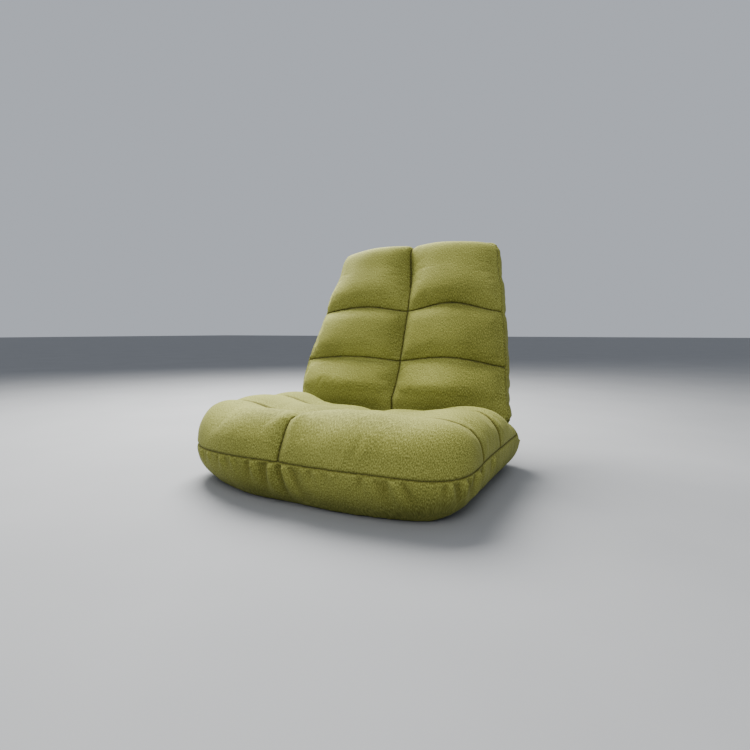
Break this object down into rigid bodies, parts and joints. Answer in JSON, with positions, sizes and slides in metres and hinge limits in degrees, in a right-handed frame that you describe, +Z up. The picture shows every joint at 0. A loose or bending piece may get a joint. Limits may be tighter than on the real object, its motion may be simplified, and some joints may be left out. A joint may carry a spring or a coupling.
{
  "type": "floor chair",
  "caption": "Legless floor chair with a quilted padded seat and a trapezoid quilted back that reclines on ratchet hinges inside the cushions.",
  "frame": {"origin": "on the floor, in the plane of the underside cloth, below the middle of the seat's width at the row seam between the middle and rear seat pads", "axes": "+X towards the sitter's left, +Y towards the back of the chair, +Z up; the chair faces -Y"},
  "size_m": [0.66, 0.7166, 0.5679],
  "materials": {
    "cover_cloth": "woven polyester, olive green, slightly heathered",
    "underside_cloth": "dark non-woven cloth",
    "foam": "cut polyurethane foam",
    "webbing": "elastic webbing",
    "felt": "needled felt",
    "frame_steel": "black coated tube",
    "plated_steel": "zinc plated pressed steel"
  },
  "bodies": {
    "seat": {"gear_plate_inner_left": "plated_steel", "gear_plate_inner_right": "plated_steel", "gear_plate_outer_left": "plated_steel", "gear_plate_outer_right": "plated_steel", "hinge_cheek_left": "cover_cloth", "hinge_cheek_right": "cover_cloth", "pawl_pin_left": "plated_steel", "pawl_pin_right": "plated_steel", "pawl_spring_left": "plated_steel", "pawl_spring_right": "plated_steel", "pivot_rivet_left": "plated_steel", "pivot_rivet_right": "plated_steel", "seat_border_front": "cover_cloth", "seat_border_left": "cover_cloth", "seat_border_right": "cover_cloth", "seat_cross_tube": "frame_steel", "seat_felt": "felt", "seat_frame_tube": "frame_steel", "seat_lower_foam": "foam", "seat_pad_front_left": "cover_cloth", "seat_pad_front_right": "cover_cloth", "seat_pad_middle_left": "cover_cloth", "seat_pad_middle_right": "cover_cloth", "seat_pad_rear_left": "cover_cloth", "seat_pad_rear_right": "cover_cloth", "seat_rivets": "plated_steel", "seat_straps": "webbing", "seat_underside": "underside_cloth", "seat_upper_foam": "foam", "spring_post_left": "plated_steel", "spring_post_right": "plated_steel"},
    "back": {"back_cross_tube_lower": "frame_steel", "back_cross_tube_upper": "frame_steel", "back_felt": "felt", "back_frame_tube": "frame_steel", "back_front_foam": "foam", "back_gusset": "cover_cloth", "back_pad_lower_left": "cover_cloth", "back_pad_lower_right": "cover_cloth", "back_pad_middle_left": "cover_cloth", "back_pad_middle_right": "cover_cloth", "back_pad_upper_left": "cover_cloth", "back_pad_upper_right": "cover_cloth", "back_rear_foam": "foam", "back_rear_panel": "cover_cloth", "back_rivets": "plated_steel", "back_roll": "cover_cloth", "back_straps": "webbing", "ratchet_arm_left": "plated_steel", "ratchet_arm_right": "plated_steel"},
    "pawl_left": {"pawl_left": "plated_steel"},
    "pawl_right": {"pawl_right": "plated_steel"}
  },
  "joints": [
    {"name": "recline", "type": "hinge", "parent": "seat", "child": "back", "pos_m": [0, 0.19, 0.07], "axis": [-1, 0, 0], "range_deg": [-28, 70]},
    {"name": "pawl_left_drop", "type": "hinge", "parent": "seat", "child": "pawl_left", "pos_m": [0.27, 0.15323, 0.06717], "axis": [1, 0, 0], "range_deg": [0, 8]},
    {"name": "pawl_right_drop", "type": "hinge", "parent": "seat", "child": "pawl_right", "pos_m": [-0.27, 0.15323, 0.06717], "axis": [1, 0, 0], "range_deg": [0, 8]}
  ]
}
